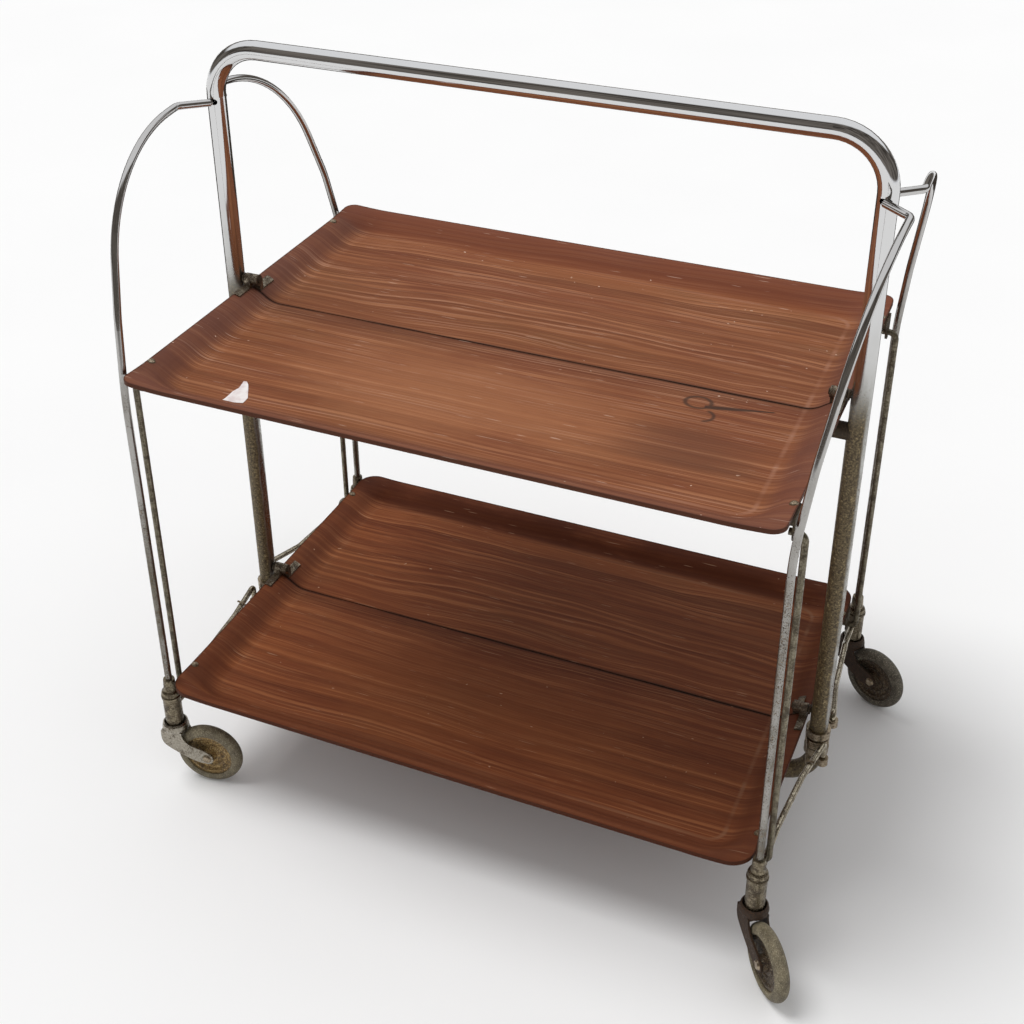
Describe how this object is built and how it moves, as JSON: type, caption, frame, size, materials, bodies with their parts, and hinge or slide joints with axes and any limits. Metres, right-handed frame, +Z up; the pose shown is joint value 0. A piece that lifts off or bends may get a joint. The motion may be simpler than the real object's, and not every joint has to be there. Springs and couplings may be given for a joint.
{
  "type": "folding tea trolley",
  "caption": "Folding serving trolley: hinged wooden trays in a tube frame with a handle, wire legs and swivel casters.",
  "frame": {"origin": "on the floor under the middle of the trolley", "axes": "+X along the trays, towards the right end as seen from the front; +Y to the rear; +Z up"},
  "size_m": [0.7316, 0.5064, 0.73],
  "materials": {
    "chrome_frame": "polished, pitted towards the floor",
    "chrome_wire": "polished, worn and pitted low down",
    "dull_steel": "dull plated steel with rust specks",
    "wood_upper": "faded reddish brown varnished plywood, scratched",
    "wood_lower": "dark red-brown varnished plywood",
    "tyre": "grey worn rubber",
    "wheel_disc": "dull, rust-stained"
  },
  "bodies": {
    "frame": {"frame_loop": "chrome_frame", "crossbar": "dull_steel", "hinge_pins_upper": "dull_steel", "hinge_pins_lower": "dull_steel"},
    "upper_front_leaf": {"leaf_upper_front": "wood_upper", "hinge_straps_upper_front": "dull_steel", "tie_ears_upper_front": "dull_steel", "tie_rivets_upper_front": "dull_steel"},
    "upper_rear_leaf": {"leaf_upper_rear": "wood_upper", "hinge_straps_upper_rear": "dull_steel", "tie_ears_upper_rear": "dull_steel", "tie_rivets_upper_rear": "dull_steel"},
    "lower_front_leaf": {"leaf_lower_front": "wood_lower", "hinge_straps_lower_front": "dull_steel", "tie_ears_lower_front": "dull_steel", "tie_rivets_lower_front": "dull_steel"},
    "lower_rear_leaf": {"leaf_lower_rear": "wood_lower", "hinge_straps_lower_rear": "dull_steel", "tie_ears_lower_rear": "dull_steel", "tie_rivets_lower_rear": "dull_steel"},
    "front_left_tie_rod": {"tie_rod_front_left": "dull_steel"},
    "rear_left_tie_rod": {"tie_rod_rear_left": "dull_steel"},
    "front_right_tie_rod": {"tie_rod_front_right": "dull_steel"},
    "rear_right_tie_rod": {"tie_rod_rear_right": "dull_steel"},
    "front_left_gate": {"leg_front_left": "chrome_wire", "socket_front_left": "chrome_wire", "collar_front_left": "dull_steel", "arm_front_left": "dull_steel", "spring_left": "dull_steel"},
    "front_left_fork": {"fork_front_left": "dull_steel", "axle_front_left": "dull_steel"},
    "front_left_wheel": {"wheel_disc_front_left": "wheel_disc", "tyre_front_left": "tyre"},
    "rear_left_gate": {"leg_rear_left": "chrome_wire", "socket_rear_left": "chrome_wire", "collar_rear_left": "dull_steel", "arm_rear_left": "dull_steel"},
    "rear_left_fork": {"fork_rear_left": "dull_steel", "axle_rear_left": "dull_steel"},
    "rear_left_wheel": {"wheel_disc_rear_left": "wheel_disc", "tyre_rear_left": "tyre"},
    "front_right_gate": {"leg_front_right": "chrome_wire", "socket_front_right": "chrome_wire", "collar_front_right": "dull_steel", "arm_front_right": "dull_steel", "spring_right": "dull_steel"},
    "front_right_fork": {"fork_front_right": "dull_steel", "axle_front_right": "dull_steel"},
    "front_right_wheel": {"wheel_disc_front_right": "wheel_disc", "tyre_front_right": "tyre"},
    "rear_right_gate": {"leg_rear_right": "chrome_wire", "socket_rear_right": "chrome_wire", "collar_rear_right": "dull_steel", "arm_rear_right": "dull_steel"},
    "rear_right_fork": {"fork_rear_right": "dull_steel", "axle_rear_right": "dull_steel"},
    "rear_right_wheel": {"wheel_disc_rear_right": "wheel_disc", "tyre_rear_right": "tyre"}
  },
  "joints": [
    {"name": "upper_front_hinge", "type": "hinge", "parent": "frame", "child": "upper_front_leaf", "pos_m": [0, 0, 0.4865], "axis": [-1, 0, 0], "range_deg": [0, 88]},
    {"name": "upper_rear_hinge", "type": "hinge", "parent": "frame", "child": "upper_rear_leaf", "pos_m": [0, 0, 0.4865], "axis": [1, 0, 0], "range_deg": [0, 88]},
    {"name": "lower_front_hinge", "type": "hinge", "parent": "frame", "child": "lower_front_leaf", "pos_m": [0, 0, 0.1315], "axis": [-1, 0, 0], "range_deg": [0, 88]},
    {"name": "lower_rear_hinge", "type": "hinge", "parent": "frame", "child": "lower_rear_leaf", "pos_m": [0, 0, 0.1315], "axis": [1, 0, 0], "range_deg": [0, 88]},
    {"name": "front_left_tie_pivot", "type": "hinge", "parent": "upper_front_leaf", "child": "front_left_tie_rod", "pos_m": [-0.31, -0.18, 0.46], "axis": [-1, 0, 0], "range_deg": [-88, 0]},
    {"name": "rear_left_tie_pivot", "type": "hinge", "parent": "upper_rear_leaf", "child": "rear_left_tie_rod", "pos_m": [-0.31, 0.18, 0.46], "axis": [1, 0, 0], "range_deg": [-88, 0]},
    {"name": "front_right_tie_pivot", "type": "hinge", "parent": "upper_front_leaf", "child": "front_right_tie_rod", "pos_m": [0.31, -0.18, 0.46], "axis": [-1, 0, 0], "range_deg": [-88, 0]},
    {"name": "rear_right_tie_pivot", "type": "hinge", "parent": "upper_rear_leaf", "child": "rear_right_tie_rod", "pos_m": [0.31, 0.18, 0.46], "axis": [1, 0, 0], "range_deg": [-88, 0]},
    {"name": "front_left_gate_swing", "type": "hinge", "parent": "frame", "child": "front_left_gate", "pos_m": [-0.312, 0, 0.4], "axis": [0, 0, -1], "range_deg": [0, 10], "stiffness_Nm_per_rad": 0.4, "springref_deg": -20.05},
    {"name": "front_left_swivel", "type": "hinge", "parent": "front_left_gate", "child": "front_left_fork", "pos_m": [-0.306, -0.202, 0.092], "axis": [0, 0, 1], "continuous": true},
    {"name": "front_left_roll", "type": "hinge", "parent": "front_left_fork", "child": "front_left_wheel", "pos_m": [-0.27153, -0.19592, 0.035], "axis": [-0.1736, 0.9848, 0], "continuous": true},
    {"name": "rear_left_gate_swing", "type": "hinge", "parent": "frame", "child": "rear_left_gate", "pos_m": [-0.312, 0, 0.4], "axis": [0, 0, 1], "range_deg": [0, 10], "stiffness_Nm_per_rad": 0.4, "springref_deg": -20.05},
    {"name": "rear_left_swivel", "type": "hinge", "parent": "rear_left_gate", "child": "rear_left_fork", "pos_m": [-0.306, 0.202, 0.092], "axis": [0, 0, 1], "continuous": true},
    {"name": "rear_left_roll", "type": "hinge", "parent": "rear_left_fork", "child": "rear_left_wheel", "pos_m": [-0.33281, 0.2245, 0.035], "axis": [-0.6428, -0.766, 0], "continuous": true},
    {"name": "front_right_gate_swing", "type": "hinge", "parent": "frame", "child": "front_right_gate", "pos_m": [0.312, 0, 0.4], "axis": [0, 0, 1], "range_deg": [0, 10], "stiffness_Nm_per_rad": 0.4, "springref_deg": -20.05},
    {"name": "front_right_swivel", "type": "hinge", "parent": "front_right_gate", "child": "front_right_fork", "pos_m": [0.306, -0.202, 0.092], "axis": [0, 0, 1], "continuous": true},
    {"name": "front_right_roll", "type": "hinge", "parent": "front_right_fork", "child": "front_right_wheel", "pos_m": [0.3285, -0.22881, 0.035], "axis": [0.766, 0.6428, 0], "continuous": true},
    {"name": "rear_right_gate_swing", "type": "hinge", "parent": "frame", "child": "rear_right_gate", "pos_m": [0.312, 0, 0.4], "axis": [0, 0, -1], "range_deg": [0, 10], "stiffness_Nm_per_rad": 0.4, "springref_deg": -20.05},
    {"name": "rear_right_swivel", "type": "hinge", "parent": "rear_right_gate", "child": "rear_right_fork", "pos_m": [0.306, 0.202, 0.092], "axis": [0, 0, 1], "continuous": true},
    {"name": "rear_right_roll", "type": "hinge", "parent": "rear_right_fork", "child": "rear_right_wheel", "pos_m": [0.33797, 0.18776, 0.035], "axis": [0.4067, 0.9135, 0], "continuous": true}
  ],
  "couplings": [
    {"joint": "lower_front_hinge", "follows": "upper_front_hinge", "ratio": 1},
    {"joint": "lower_rear_hinge", "follows": "upper_rear_hinge", "ratio": 1},
    {"joint": "front_left_tie_pivot", "follows": "upper_front_hinge", "ratio": -1},
    {"joint": "rear_left_tie_pivot", "follows": "upper_rear_hinge", "ratio": -1},
    {"joint": "front_right_tie_pivot", "follows": "upper_front_hinge", "ratio": -1},
    {"joint": "rear_right_tie_pivot", "follows": "upper_rear_hinge", "ratio": -1}
  ]
}
